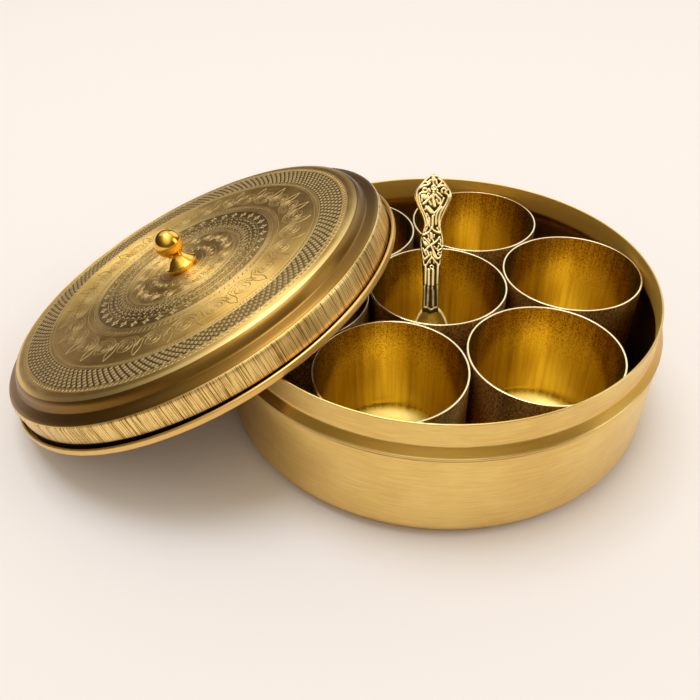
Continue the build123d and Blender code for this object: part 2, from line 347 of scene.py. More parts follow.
def addTurnedLines(tree, coords, pitch, length):
    # Noise drawn out round the piece, as a tool or an abrasive leaves it. pitch is the lines'
    # width in metres and length how far round they run, in radians.
    reach, height, around = coords
    side = addNode(tree, "ShaderNodeSeparateXYZ", {0: around})
    across = addNode(tree, "ShaderNodeMath", {0: reach, 1: 1.0 / pitch}, operation="MULTIPLY")
    tall = addNode(tree, "ShaderNodeMath", {0: height, 1: 1.0 / pitch}, operation="MULTIPLY")
    one = addNode(tree, "ShaderNodeMath", {0: side.outputs["X"], 1: 1.0 / length}, operation="MULTIPLY")
    two = addNode(tree, "ShaderNodeMath", {0: side.outputs["Y"], 1: 1.0 / length}, operation="MULTIPLY")
    where = addNode(tree, "ShaderNodeCombineXYZ", {0: across, 1: tall, 2: one})
    return addNode(tree, "ShaderNodeTexNoise", {"Vector": where, "W": two, "Scale": 1.0, "Detail": 3.0,
                                                "Roughness": 0.6}, noise_dimensions="4D").outputs[0]


def addPatches(tree, size, detail=3.0):
    # Slow cloudy noise. size is the width of a patch in metres.
    coords = addNode(tree, "ShaderNodeTexCoord")
    return addNode(tree, "ShaderNodeTexNoise", {"Vector": coords.outputs["Object"],
                                                "Scale": 1.0 / size, "Detail": detail})


def addColourRange(tree, driver, low, high, fromValue=0.3, toValue=0.7):
    share = addNode(tree, "ShaderNodeMapRange", {0: driver, 1: fromValue, 2: toValue, 3: 0.0, 4: 1.0})
    return addNode(tree, "ShaderNodeMix", {0: share, 6: low if len(low) != 6 else linearColour(low),
                                           7: high if len(high) != 6 else linearColour(high)},
                   data_type="RGBA").outputs[2]


def setTurnedGrain(tree, shader, amount):
    # Fine rings spread a reflection across themselves, so the blur runs along the half section.
    tangent = addNode(tree, "ShaderNodeTangent", direction_type="UV_MAP", uv_map="turnUV")
    tree.links.new(tangent.outputs[0], shader.inputs["Tangent"])
    shader.inputs["Anisotropic"].default_value = amount
    shader.inputs["Anisotropic Rotation"].default_value = 0.25


def makeTurnedBrass(name, look, foot=(0, 0, 0), lean=0.0):
    finish, tree, shader = startFinish(name, look["bright"], look["roughness"])
    coords = addTurnedCoords(tree, foot, lean)
    lines = addTurnedLines(tree, coords, look["pitch"] * mm, look["length"])
    patches = addPatches(tree, look["patch"] * mm)
    both = addNode(tree, "ShaderNodeMath", {0: lines, 1: look["lineShare"], 2: patches},
                   operation="MULTIPLY_ADD")
    middle = 0.5 + 0.5 * look["lineShare"]
    colour = addColourRange(tree, both, look["dull"], look["bright"], middle - 0.28, middle + 0.22)
    tree.links.new(colour, shader.inputs["Base Color"])
    rough = addNode(tree, "ShaderNodeMapRange", {0: lines, 1: 0.3, 2: 0.7, 3: look["roughness"] + 0.06,
                                                 4: look["roughness"] - 0.04})
    tree.links.new(rough.outputs[0], shader.inputs["Roughness"])
    bump = addNode(tree, "ShaderNodeBump", {"Strength": look["bump"], "Distance": 0.0001,
                                            "Height": lines})
    tree.links.new(bump.outputs[0], shader.inputs["Normal"])
    setTurnedGrain(tree, shader, look["grain"])
    return finish


def addZone(tree, driver, fromValue, toValue):
    # 0 below fromValue and 1 above toValue, both in metres or shares; reversed if they are swapped.
    return addNode(tree, "ShaderNodeMapRange", {0: driver, 1: fromValue, 2: toValue, 3: 0.0, 4: 1.0},
                   interpolation_type="SMOOTHSTEP").outputs[0]


def addZones(tree, coords, edges):
    # Zones by name: what each runs along, where it starts to show and where it is full, in millimetres.
    drivers = {"reach": coords[0], "height": coords[1]}
    return {name: addZone(tree, drivers[way], start * mm, full * mm)
            for name, (way, start, full) in edges.items()}


def addOverlap(tree, *zones):
    # Full only where every one of the zones is. A plain number among them scales the result.
    share = zones[0]
    for zone in zones[1:]:
        share = addNode(tree, "ShaderNodeMath", {0: share, 1: zone}, operation="MULTIPLY").outputs[0]
    return share


def addColourMix(tree, share, first, second):
    inputs = {0: share}
    for key, value in ((6, first), (7, second)):
        inputs[key] = linearColour(value) if isinstance(value, str) else value
    return addNode(tree, "ShaderNodeMix", inputs, data_type="RGBA").outputs[2]


def addStreaks(tree, coords, width, length, radius):
    # Noise drawn out up a wall: strokes of a brush or file. All sizes are metres.
    height, around = coords[1:]
    wide = addNode(tree, "ShaderNodeVectorMath", {0: around, "Scale": radius / width}, operation="SCALE")
    tall = addNode(tree, "ShaderNodeMath", {0: height, 1: 1.0 / length}, operation="MULTIPLY")
    up = addNode(tree, "ShaderNodeCombineXYZ", {2: tall})
    where = addNode(tree, "ShaderNodeVectorMath", {0: wide, 1: up}, operation="ADD")
    return addNode(tree, "ShaderNodeTexNoise", {"Vector": where, "Scale": 1.0, "Detail": 3.0,
                                                "Roughness": 0.6}).outputs[0]


# Satin turned sheet: short fine lines round it, darker on the wall inside below the collar.
def makeBoxBrass():
    finish = makeTurnedBrass("satin turned brass", {
        "bright": "F0D080", "dull": "DFB96A", "roughness": 0.31, "pitch": 0.22, "length": 0.1,
        "patch": 30, "lineShare": 1.6, "bump": 0.35, "grain": 0.6})
    tree = finish.node_tree
    shader = tree.nodes["Principled BSDF"]
    zone = addZones(tree, addTurnedCoords(tree), {
        "in the wall": ("reach", 103.1, 102.9), "under the collar": ("height", 48.5, 44.0),
        "over the table": ("height", 0.5, 1.0), "foot": ("height", 7.0, 0.0),
        "groove from": ("height", 45.9, 46.2), "groove to": ("height", 46.7, 46.4),
        "wall's face": ("reach", 103.0, 103.1), "shoulder from": ("height", 47.8, 48.4),
        "shoulder to": ("height", 51.8, 51.2), "in the collar": ("reach", 100.6, 100.2),
        "collar from": ("height", 45.0, 49.0), "collar to": ("height", 62.8, 62.4)})
    hidden = addOverlap(tree, zone["in the wall"], zone["under the collar"], zone["over the table"])
    base = shader.inputs["Base Color"].links[0].from_socket
    # Painted shade: a dark line in the groove round the wall.
    groove = addOverlap(tree, zone["groove from"], zone["groove to"], zone["wall's face"])
    base = addColourMix(tree, groove, base, "5A4018")
    # Painted reflection: the sloped shoulder band is a deeper gold.
    shoulder = addOverlap(tree, zone["shoulder from"], zone["shoulder to"])
    base = addColourMix(tree, shoulder, base, "E2B250")
    # Painted shade: the foot is darker towards the table.
    tree.links.new(addColourMix(tree, hidden, addColourMix(tree, zone["foot"], base, "9A7436"), "A8823E"),
                   shader.inputs["Base Color"])
    inside = addOverlap(tree, zone["in the collar"], zone["over the table"])
    # Painted light: the collar's inner face is a brighter gold.
    collar = addOverlap(tree, inside, zone["collar from"], zone["collar to"])
    tree.links.new(addColourMix(tree, collar, shader.inputs["Base Color"].links[0].from_socket, "F2C85E"),
                   shader.inputs["Base Color"])
    rough = shader.inputs["Roughness"].links[0].from_socket
    softer = addNode(tree, "ShaderNodeMath", {0: inside, 1: 0.22, 2: rough}, operation="MULTIPLY_ADD")
    tree.links.new(softer.outputs[0], shader.inputs["Roughness"])
    return finish


# Spun cup: turned lines smear the light up the wall inside, with a little grain near the mouth;
# outside is left dull, the mouth's edge is a painted highlight and the floor inside is painted light.
def makeCupBrass(x, y):
    finish, tree, shader = startFinish("spun brass, satin inside", "E8CC40", 0.3)
    coords = addTurnedCoords(tree, (x, y, 0))
    streaks = addStreaks(tree, coords, 0.0022, 0.06, 0.033)
    fine = addStreaks(tree, coords, 0.0007, 0.001, 0.033)
    zone = addZones(tree, coords, {
        "rim": ("height", 56.55, 56.75), "outer face": ("reach", 32.4, 32.8),
        "under the rim": ("height", 56.7, 56.4), "in the wall": ("reach", 31.5, 28.0),
        "low down": ("height", 11.0, 6.0), "towards the mouth": ("height", 20.0, 50.0)})
    outside = addOverlap(tree, zone["outer face"], zone["under the rim"])
    floor = addOverlap(tree, zone["in the wall"], zone["low down"])
    inner = addColourRange(tree, streaks, "C6A436", "E2C44A", 0.36, 0.62)
    mouth = addOverlap(tree, zone["towards the mouth"], addZone(tree, fine, 0.48, 0.6), 0.7)
    grainy = addColourMix(tree, mouth, inner, "7A5C14")
    outer = addColourRange(tree, fine, "B88636", "FFDC8C", 0.38, 0.62)
    # Painted light: the floor inside is a bright pale gold.
    both = addColourMix(tree, floor, addColourMix(tree, outside, grainy, outer), "FFE488")
    # Painted highlight: the mouth's edge is a near-white gold.
    tree.links.new(addColourMix(tree, zone["rim"], both, "FFE9B4"), shader.inputs["Base Color"])
    rough = addNode(tree, "ShaderNodeMapRange", {0: streaks, 1: 0.35, 2: 0.65, 3: 0.2, 4: 0.27})
    soft = addNode(tree, "ShaderNodeMath", {0: floor, 1: 0.2, 2: rough}, operation="MULTIPLY_ADD")
    dull = addNode(tree, "ShaderNodeMath", {0: outside, 1: 0.12, 2: soft}, operation="MULTIPLY_ADD")
    tree.links.new(dull.outputs[0], shader.inputs["Roughness"])
    bump = addNode(tree, "ShaderNodeBump", {"Strength": 0.35, "Distance": 0.0001, "Height": fine})
    tree.links.new(bump.outputs[0], shader.inputs["Normal"])
    setTurnedGrain(tree, shader, 0.85)
    return finish


# Turned lid: rings round the plate and shoulders and file strokes up the skirt, with painted shadow
# black in the gap behind the rim ring, painted shade under the plate and painted light on the side.
def makeLidBrass():
    finish = makeTurnedBrass("turned lid brass", {
        "bright": "EAC571", "dull": "C0923F", "roughness": 0.4, "pitch": 0.5, "length": 0.5, "patch": 14,
        "lineShare": 1.2, "bump": 0.25, "grain": 0.96}, lid["foot"], lid["lean"])
    tree = finish.node_tree
    shader = tree.nodes["Principled BSDF"]
    coords = addTurnedCoords(tree, lid["foot"], lid["lean"])
    height, around = coords[1:]
    zone = addZones(tree, coords, {
        "side": ("reach", 90.5, 92.5), "below the ledge": ("height", 14.5, 12.5),
        "top": ("height", 21.2, 21.3), "stipple from": ("reach", 31.8, 32.2),
        "stipple to": ("reach", 48.1, 47.7), "net from": ("reach", 75.1, 75.3),
        "net to": ("reach", 86.5, 86.3), "wall from": ("reach", 102.0, 102.2),
        "wall to": ("reach", 103.4, 103.2), "skirt": ("height", 15.0, 13.8),
        "ring": ("reach", 103.4, 103.6), "inside": ("reach", 102.0, 101.8),
        "under the plate": ("height", 20.6, 20.5)})
    rough = shader.inputs["Roughness"].links[0].from_socket
    upright = addOverlap(tree, zone["side"], zone["below the ledge"])
    smoother = addNode(tree, "ShaderNodeMath", {0: zone["side"], 1: -0.04, 2: rough},
                       operation="MULTIPLY_ADD")
    tree.links.new(smoother.outputs[0], shader.inputs["Roughness"])
    turned = addNode(tree, "ShaderNodeMapRange", {0: zone["side"], 3: 0.96, 4: 0.75})
    grain = addNode(tree, "ShaderNodeMath", {0: upright, 1: -0.45, 2: turned}, operation="MULTIPLY_ADD")
    tree.links.new(grain.outputs[0], shader.inputs["Anisotropic"])
    stipple = addZone(tree, addPatches(tree, 0.0007), 0.35, 0.6)
    waxed = addOverlap(tree, zone["stipple from"], zone["stipple to"], zone["top"],
                       addNode(tree, "ShaderNodeMapRange", {0: stipple, 3: 0.22, 4: 0.75}))
    netted = addOverlap(tree, zone["net from"], zone["net to"], zone["top"], 0.8)
    wall = addOverlap(tree, zone["wall from"], zone["wall to"])
    skirt = addOverlap(tree, wall, zone["skirt"])
    strokes = addStreaks(tree, coords, 0.0003, 0.03, 0.1027)
    often = addPatches(tree, 0.012)
    pressed = addNode(tree, "ShaderNodeMath", {0: often, 1: 0.14, 2: strokes}, operation="MULTIPLY_ADD")
    cut = addOverlap(tree, skirt, addZone(tree, pressed, 0.585, 0.64))
    # Painted shadow behind the rim ring: black up to about 3.3 mm, a little higher on one side than the
    # other.
    shadowSide = addNode(tree, "ShaderNodeVectorMath", {0: around, 1: (0.00123, 0.00086, 0.0)},
                    operation="DOT_PRODUCT")
    level = addNode(tree, "ShaderNodeMath", {0: height, 1: shadowSide.outputs["Value"]}, operation="ADD")
    channelShadow = addOverlap(tree, wall, addZone(tree, level, 3.9 * mm, 3.3 * mm))
    # Painted shade: the lid's inside under the plate is dark.
    shadedUnderside = addOverlap(tree, zone["inside"], zone["under the plate"])
    base = shader.inputs["Base Color"].links[0].from_socket
    # Painted light: the lid's side is a paler gold.
    base = addColourMix(tree, addOverlap(tree, zone["side"], 0.8), base, "FFDE90")
    base = addColourMix(tree, shadedUnderside, base, "8A662C")
    plate = addColourMix(tree, netted, addColourMix(tree, waxed, base, "5A441F"), "523C1A")
    filed = addColourMix(tree, cut, plate, "8A6428")
    ring = addColourMix(tree, zone["ring"], filed, "EBC070")
    # Painted shadow: black in the gap behind the rim ring.
    tree.links.new(addColourMix(tree, channelShadow, ring, "140E07"), shader.inputs["Base Color"])
    deep = addOverlap(tree, skirt, strokes, -1.0)
    bump = addNode(tree, "ShaderNodeBump", {
        "Strength": 0.3, "Distance": 0.0001, "Height": deep,
        "Normal": shader.inputs["Normal"].links[0].from_socket})
    tree.links.new(bump.outputs[0], shader.inputs["Normal"])
    return finish


# Mirror polish on the knob: only a faint haze from handling.
def makeKnobBrass():
    finish, tree, shader = startFinish("mirror polished brass", "F0B93A", 0.06)
    haze = addPatches(tree, 0.004)
    rough = addNode(tree, "ShaderNodeMapRange", {0: haze, 1: 0.35, 2: 0.7, 3: 0.03, 4: 0.08})
    tree.links.new(rough.outputs[0], shader.inputs["Roughness"])
    tree.links.new(addColourRange(tree, haze, "F2C250", "D09A30", 0.4, 0.75), shader.inputs["Base Color"])
    return finish


# Plain machined brass for the hidden screw and washer, dulled by air.
def makeMachinedBrass():
    finish, tree, shader = startFinish("machined brass", "C79F55", 0.32)
    tarnish = addPatches(tree, 0.003)
    tree.links.new(addColourRange(tree, tarnish, "D2AC62", "8E6C34", 0.4, 0.75),
                   shader.inputs["Base Color"])
    return finish


# Cast brass, rubbed bright on the high parts with dark patina left in the hollows.
def makeCastBrass():
    finish, tree, shader = startFinish("cast brass with patina", "EBCB80", 0.22)
    patina = addNode(tree, "ShaderNodeAttribute", attribute_name="patina")
    grime = addPatches(tree, 0.0025)
    dark = addNode(tree, "ShaderNodeMath", {0: grime, 1: 0.5, 2: patina.outputs["Fac"]},
                   operation="MULTIPLY_ADD")
    tree.links.new(addColourRange(tree, dark, "FFE4A0", "3A2A14", 0.4, 1.2), shader.inputs["Base Color"])
    rough = addNode(tree, "ShaderNodeMapRange", {0: dark, 1: 0.3, 2: 1.2, 3: 0.17, 4: 0.6})
    tree.links.new(rough.outputs[0], shader.inputs["Roughness"])
    skin = addPatches(tree, 0.0006)
    bump = addNode(tree, "ShaderNodeBump", {"Strength": 0.3, "Distance": 0.00006, "Height": skin})
    tree.links.new(bump.outputs[0], shader.inputs["Normal"])
    return finish


satinBrass = makeBoxBrass()
lidBrass = makeLidBrass()
knobBrass = makeKnobBrass()
machinedBrass = makeMachinedBrass()
spoonBrass = makeCastBrass()

# Box.
box = {
    "collarR": 101.0, "top": 63.0, "bodyR": 103.7, "groove": 46.4, "footRound": 7.0, "wall": 1.0,
    "floor": 1.4, "steps": 256,
}


def boxSection():
    b = box
    r, c, w = b["bodyR"], b["collarR"], b["wall"]
    outside = [(0, 0), (50, 0), (90, 0)]
    outside += arc((r - b["footRound"], b["footRound"]), b["footRound"], 270, 360, 12)
    outside += [(r, 20), (r, 33), (r, b["groove"] - 0.7), (r - 0.08, b["groove"] - 0.45),
                (r - 0.5, b["groove"] - 0.1), (r - 0.5, b["groove"] + 0.1),
                (r - 0.05, b["groove"] + 0.4)]
    outside += arc((r - 0.25, 47.15), 0.75, -40, 62, 8)
    outside += smoothLine([(103.6, 48.1), (102.7, 49.3), (101.7, 50.7), (101.15, 51.6), (c, 52.6)], 3)
    outside += [(c, 55), (c, 59), (c, 62.2)]
    outside += arc((c - 0.5, b["top"] - 0.5), 0.5, 0, 180, 8)
    inside = [(c - w, 58), (c - w, 55), (c - w, 52.4)]
    inside += smoothLine([(c - w + 0.05, 51.7), (c - w + 0.9, 50.2), (r - w - 0.2, 47.9), (r - w, 47.0)], 3)
    inside += [(r - w, 30), (r - w, 15)]
    inside += arc((r - b["footRound"], b["footRound"] + 0.4), 6.0, 0, -90, 10)
    inside += [(80, b["floor"]), (40, b["floor"]), (0, b["floor"])]
    return outside + inside


boxShell = turnPiece("box_shell", boxSection(), satinBrass, steps=box["steps"], wobble=0.0012)
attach(boxShell, "box")
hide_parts("box_body")

# Cups.
cups = {
    "r": 33.0, "wall": 0.9, "rim": 57.0, "bottom": 1.5, "floor": 1.5, "roundOut": 5.0, "roundIn": 8.0,
    "lip": 0.2, "ringR": 66.6, "firstAngle": 15.0, "steps": 128,
    "ring": ("right", "back", "back_left", "left", "front_left", "front_right"),
}


def cupSection():
    c = cups
    r, inner, low = c["r"], c["r"] - c["wall"], c["bottom"]
    outside = [(0, low), (15, low)]
    outside += arc((r - c["roundOut"], low + c["roundOut"]), c["roundOut"], 270, 360, 8)
    outside += [(r, 22), (r, 40), (r, c["rim"] - 1.0)]
    outside += arc((r - c["lip"], c["rim"] - c["lip"]), c["lip"], 0, 90, 4)
    outside += arc((inner + c["lip"], c["rim"] - c["lip"]), c["lip"], 90, 180, 4)
    inside = [(inner, 40), (inner, 25)]
    inside += arc((inner - c["roundIn"], low + c["floor"] + c["roundIn"]), c["roundIn"], 0, -90, 12)
    inside += [(12, low + c["floor"]), (0, low + c["floor"])]
    return outside + inside


def makeCup(name, x, y):
    cup = turnPiece("spice_" + name, cupSection(), makeCupBrass(x, y), steps=cups["steps"], wobble=0.004,
                    foot=(x, y, 0))
    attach(cup, name + "_body")
    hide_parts(name)
    return cup


makeCup("cup_center", 0, 0)
for step, side in enumerate(cups["ring"]):
    turn = math.radians(cups["firstAngle"] + 60 * step)
    makeCup("cup_" + side, cups["ringR"] * math.cos(turn), cups["ringR"] * math.sin(turn))
print("box and cups ready")


def lidSection():
    # A tall skirt, a ledge with a rounded corner, a sloped tier and the plate, all in one sheet.
    s, top, bore = lid["skirtR"], lid["plateZ"], lid["boreR"]
    inner, low = s - lid["sheet"], top - lid["sheet"]
    outside = [(s, 0), (s, 1.5), (s, 6), (s, 10)]
    outside += smoothLine([(s, 12.2), (102.5, 13.4), (101.8, 14.4), (100.6, 15.1), (98.8, 15.6),
                           (97.3, 15.95)], 4)
    outside += [(96.6, 16.1), (96.3, 16.35), (96.15, 16.9)]
    outside += smoothLine([(95.9, 17.6), (95.45, 18.7), (94.9, 19.6), (94.1, 20.3), (93.0, 20.8),
                           (91.6, 21.2), (90.0, top)], 4)
    outside += [(85, top), (60, top), (30, top), (bore, top)]
    inside = [(bore, low), (30, low), (60, low), (85, low)]
    inside += smoothLine([(89.9, low), (92.0, 20.25), (93.9, 19.8), (94.5, 19.2)], 3)
    inside += [(94.95, 17.6), (95.25, 15.9)]
    inside += smoothLine([(95.6, 15.25), (97.4, 14.95), (100.6, 14.45), (101.5, 13.9), (inner, 12.8)], 4)
    inside += [(inner, 10), (inner, 6), (inner, 1.5), (inner, 0)]
    return outside + inside + [(s, 0)]


def ringSection():
    r, s, h = lid["ringR"], lid["skirtR"] + 0.04, lid["ringH"]
    section = [(s, 0), (r - 1.6, 0)]
    section += arc((r - lid["ringEdge"], lid["ringEdge"]), lid["ringEdge"], 270, 360, 8)
    section += [(r - 0.03, 1.6), (r - 0.05, h - 0.85)]
    section += arc((r - 0.85, h - 0.8), 0.8, 0, 180, 12)
    section += [(r - 1.65, 1.5), (r - 1.7, 0.92), (s + 0.5, 0.9), (s, 0.9), (s, 0)]
    return section


lidShell = turnPiece("lid_cover", lidSection(), lidBrass, steps=lid["steps"], wobble=0.0005,
                     foot=lid["foot"], lean=lid["lean"])
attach(lidShell, "lid")
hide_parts("lid_shell")
lidRing = turnPiece("lid_rim_ring", ringSection(), lidBrass, steps=lid["steps"], wobble=0.0005,
                    foot=lid["foot"], lean=lid["lean"])
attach(lidRing, "lid")
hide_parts("lid_ring")

# Knob.
knob = {"footR": 8.4, "footH": 1.9, "neckR": 3.6, "ballR": 7.1, "ballZ": 13.4, "base": 21.42}


def knobSection():
    k = knob
    ball = k["base"] + k["ballZ"]
    neck = ball - math.sqrt(k["ballR"] ** 2 - k["neckR"] ** 2)
    section = [(1.95, k["base"]), (k["footR"] - 0.4, k["base"])]
    section += arc((k["footR"] - 0.3, k["base"] + 0.3), 0.3, 270, 360, 4)
    section += arc((k["footR"] - 0.35, k["base"] + k["footH"] - 0.1), 0.35, 0, 60, 4)
    section += smoothLine([(7.9, k["base"] + 2.25), (7.4, k["base"] + 2.6), (5.7, k["base"] + 4.3),
                           (4.3, k["base"] + 5.8), (k["neckR"] + 0.1, neck - 0.4), (k["neckR"], neck)], 4)
    start = math.degrees(math.atan2(neck - ball, k["neckR"]))
    section += arc((0, ball), k["ballR"], start + 3, 90, 28)
    section += [(0, k["base"] + 9.0), (1.95, k["base"] + 9.0), (1.95, k["base"])]
    return section


knobPiece = turnPiece("ball_knob", knobSection(), knobBrass, steps=96, foot=lid["foot"],
                      lean=lid["lean"])
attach(knobPiece, "lid")
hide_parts("knob")
for name in ("knob_washer", "knob_screw"):
    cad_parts[name].data.materials.clear()
    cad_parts[name].data.materials.append(machinedBrass)
print("lid and knob ready")

# Spoon: drawn in its own plane, x across it and s along it, from the bowl's end to the handle's.
spoon = {
    "foot": (-0.4, -18.5, 4.45), "lean": 47.5, "turn": 94.0, "half": 0.9, "relief": 0.6, "fat": 1.55,
    "bowlHalf": 22.0, "bowlMiddle": 21.7, "bowlWide": 10.2, "bowlDeep": 5.0, "bowlWall": 0.9,
    "start": 39.8, "end": 111.3, "rows": 340, "columns": 84,
    # Half width along the handle.
    "outline": [(39.0, 4.15), (45.0, 4.05), (51.0, 3.95), (60.5, 4.4), (65.7, 4.85), (69.3, 5.35),
                (74.5, 6.0), (78.6, 5.7), (83.8, 4.4), (87.4, 5.0), (91.0, 6.5), (95.2, 8.4),
                (100.6, 9.7), (105.6, 7.1), (108.6, 4.3), (110.4, 1.9), (111.3, 0.0)],
}

# The enlarged crop of the photo where the spoon's ornament was picked: pixels to a millimetre,
# the height of the handle's end, and its middle line, which bends near the head's widest place.
crop = {
    "across": 18.1, "along": 18.27, "endY": 85, "headX": 353, "headY": 260, "headLean": 6 / 175,
    "stemLean": -25 / 1080,
}

# Cast ornament. Each kind of stroke has half its width in millimetres, its height as a share of the
# relief, and the points of each stroke in the crop's pixels.
castStrokes = {
    "rims": (0.5, 0.85, [
        [(330, 98), (285, 138), (240, 192), (200, 250), (192, 300), (205, 370), (238, 450), (264, 520),
         (272, 575), (262, 620), (245, 655)],
        [(370, 98), (420, 138), (468, 188), (510, 242), (514, 290), (500, 350), (468, 430), (438, 500),
         (424, 560), (422, 610), (430, 645)]]),
    "scrolls": (0.42, 1.0, [
        [(278, 262), (258, 258), (256, 238), (280, 228), (300, 246), (285, 268), (240, 272), (218, 300),
         (224, 350), (248, 425), (280, 490), (294, 545), (290, 590)],
        [(432, 268), (428, 244), (450, 228), (472, 246), (462, 272), (486, 288), (490, 325), (468, 380),
         (440, 425), (412, 480), (402, 540), (406, 600)]]),
    "right strand": (0.38, 0.8, [[(450, 320), (428, 372), (396, 425), (362, 462)]]),
    "middle strand": (0.38, 0.7, [[(430, 405), (398, 445), (376, 495), (374, 570)]]),
    "top drop": (0.75, 1.0, [[(345, 108), (345, 152)]]),
    "leaves": (0.42, 0.8, [
        [(322, 150), (296, 172), (270, 165)], [(372, 146), (380, 182)],
        [(398, 136), (428, 160), (410, 192)], [(292, 820), (308, 866)]]),
    "long leaves": (0.42, 0.9, [
        [(318, 178), (296, 196), (262, 204), (226, 226)],
        [(396, 212), (436, 200), (476, 212), (496, 238)], [(270, 902), (312, 862)]]),
    "ring": (0.36, 1.0, [
        [(355, 200), (374, 212), (374, 234), (355, 244), (336, 234), (336, 212), (355, 200)]]),
    "bead in the ring": (0.5, 0.9, [[(355, 221), (355, 224)]]),
    "bead under it": (0.55, 0.9, [[(355, 262), (355, 266)]]),
    "middle leaf": (0.5, 1.0, [[(352, 286), (348, 324)]]),
    "full leaves": (0.5, 0.9, [[(334, 302), (300, 342), (262, 378)], [(376, 292), (412, 330)]]),
    "petal": (0.95, 0.8, [[(268, 306), (276, 314)]]),
    "slim leaves": (0.38, 0.8, [[(396, 270), (432, 300)], [(256, 800), (280, 856)]]),
    "bud": (0.62, 1.0, [[(352, 340), (362, 396)]]),
    "small leaf": (0.4, 0.7, [[(316, 352), (330, 384)]]),
    "lozenge": (0.85, 0.8, [[(304, 416), (334, 450)]]),
    "left bar": (0.42, 0.7, [[(312, 508), (313, 588)]]),
    "right bar": (0.42, 0.8, [[(346, 494), (342, 590)]]),
    "arches": (0.45, 1.0, [
        [(335, 602), (312, 640), (278, 662), (246, 674)],
        [(335, 602), (360, 632), (395, 646), (430, 652)]]),
    "drop": (0.55, 1.0, [[(330, 656), (330, 706)]]),
    "sides": (0.45, 0.85, [
        [(240, 676), (229, 720), (232, 790), (241, 850), (250, 920), (256, 950)],
        [(434, 662), (442, 720), (444, 790), (438, 850), (424, 900), (412, 950)]]),
    "falling cross": (0.45, 1.0, [[(265, 700), (300, 738), (335, 788), (362, 850), (380, 886)]]),
    "rising cross": (0.45, 0.9, [[(408, 690), (380, 728), (340, 760), (300, 790), (268, 832)]]),
    "flower": (0.85, 0.85, [[(276, 752), (284, 758)]]),
    "volute": (0.42, 1.0, [
        [(345, 806), (346, 850), (370, 886), (405, 888), (428, 860), (436, 812), (424, 772), (400, 752)]]),
    "ribs in the volute": (0.3, 0.8, [
        [(384, 806), (398, 776)], [(392, 820), (420, 800)], [(396, 834), (424, 836)],
        [(392, 848), (412, 864)]]),
    "chevrons": (0.42, 0.9, [
        [(335, 882), (306, 920), (286, 952)], [(335, 882), (364, 914), (388, 944)]]),
    "outer ribs": (0.5, 0.85, [[(276, 960), (272, 1130)], [(390, 950), (388, 1126)]]),
    "inner ribs": (0.5, 0.95, [[(306, 996), (303, 1142)], [(345, 1000), (341, 1142)]]),
    "eye": (0.28, 0.7, [[(335, 955), (350, 968), (343, 986), (326, 986), (319, 968), (335, 955)]]),
    "dashes": (0.36, 0.6, [[(301, 1158), (300, 1192)], [(339, 1152), (338, 1176)]]),
    "low ribs": (0.42, 0.55, [
        [(264, 1150), (259, 1340)], [(298, 1204), (292, 1340)], [(345, 1190), (345, 1336)],
        [(388, 1146), (393, 1340)]]),
    "neck": (0.35, 0.6, [[(254, 1352), (290, 1352), (325, 1372), (362, 1352), (400, 1350)]]),
    "fine seeds": (0.3, 0.7, [
        [(243, 296), (246, 352)], [(418, 340), (412, 378)], [(300, 668), (306, 690)],
        [(360, 668), (356, 692)], [(346, 716), (352, 742)], [(416, 712), (418, 742)],
        [(358, 778), (374, 800)], [(254, 868), (262, 896)]]),
    "slim seeds": (0.32, 0.7, [
        [(296, 262), (318, 282)], [(252, 706), (262, 744)], [(320, 900), (318, 932)],
        [(350, 902), (354, 934)]]),
    "seeds": (0.34, 0.7, [
        [(300, 286), (306, 326)], [(384, 262), (392, 242)], [(314, 232), (322, 258)],
        [(384, 186), (396, 196)], [(286, 398), (276, 432)], [(292, 470), (306, 492)],
        [(352, 452), (358, 486)], [(304, 764), (322, 776)], [(324, 836), (332, 866)]]),
    "raised seeds": (0.34, 0.8, [
        [(344, 168), (352, 190)], [(292, 602), (276, 640)], [(384, 604), (404, 632)],
        [(302, 706), (318, 728)]]),
    "wide seed": (0.36, 0.8, [[(382, 338), (398, 372)]]),
}


def pickedPlace(px, py):
    # Place on the spoon's plane, to 0.1 mm, of a point picked in the crop.
    lean = crop["stemLean"] if py >= crop["headY"] else crop["headLean"]
    middle = crop["headX"] + (py - crop["headY"]) * lean
    return (round((px - middle) / crop["across"], 1),
            round(spoon["end"] - (py - crop["endY"]) / crop["along"], 1))


def spoonFrame(points):
    # Turns rows of (x, s, height over the spoon's plane) in millimetres to model points in metres.
    lean, turn = math.radians(spoon["lean"]), math.radians(spoon["turn"])
    along = np.array((math.cos(lean) * math.cos(turn), math.cos(lean) * math.sin(turn), math.sin(lean)))
    across = np.array((math.sin(turn), -math.cos(turn), 0.0))
    face = np.cross(across, along)
    x, s, rise = (points[:, i:i + 1] for i in range(3))
    return (np.array(spoon["foot"]) + x * across + s * along + rise * face) * mm


def reliefRise(x, s):
    # Height of the cast ornament at arrays of points, as a share of the relief.
    rise = np.zeros_like(x)
    for half, height, lines in castStrokes.values():
        for picked in lines:
            line = [pickedPlace(*point) for point in picked]
            line = smoothLine(line, 3) if len(line) > 2 else line
            for (ax, ay), (bx, by) in zip(line, line[1:]):
                dx, dy = bx - ax, by - ay
                share = np.clip(((x - ax) * dx + (s - ay) * dy) / max(dx * dx + dy * dy, 1e-9), 0, 1)
                gone = np.hypot(x - ax - share * dx, s - ay - share * dy) / (half * spoon["fat"])
                rise = np.maximum(rise, height * np.sqrt(np.clip(1.05 - gone ** 2, 0, 1)))
    return rise


def loftFaces(rows, size):
    # Quads of a tube of closed rows, with its two ends filled.
    faces = []
    for r in range(rows - 1):
        for c in range(size):
            a, b = r * size + c, r * size + (c + 1) % size
            faces.append((a, b, b + size, a + size))
    faces.append(tuple(range(size - 1, -1, -1)))
    faces.append(tuple((rows - 1) * size + c for c in range(size)))
    return faces


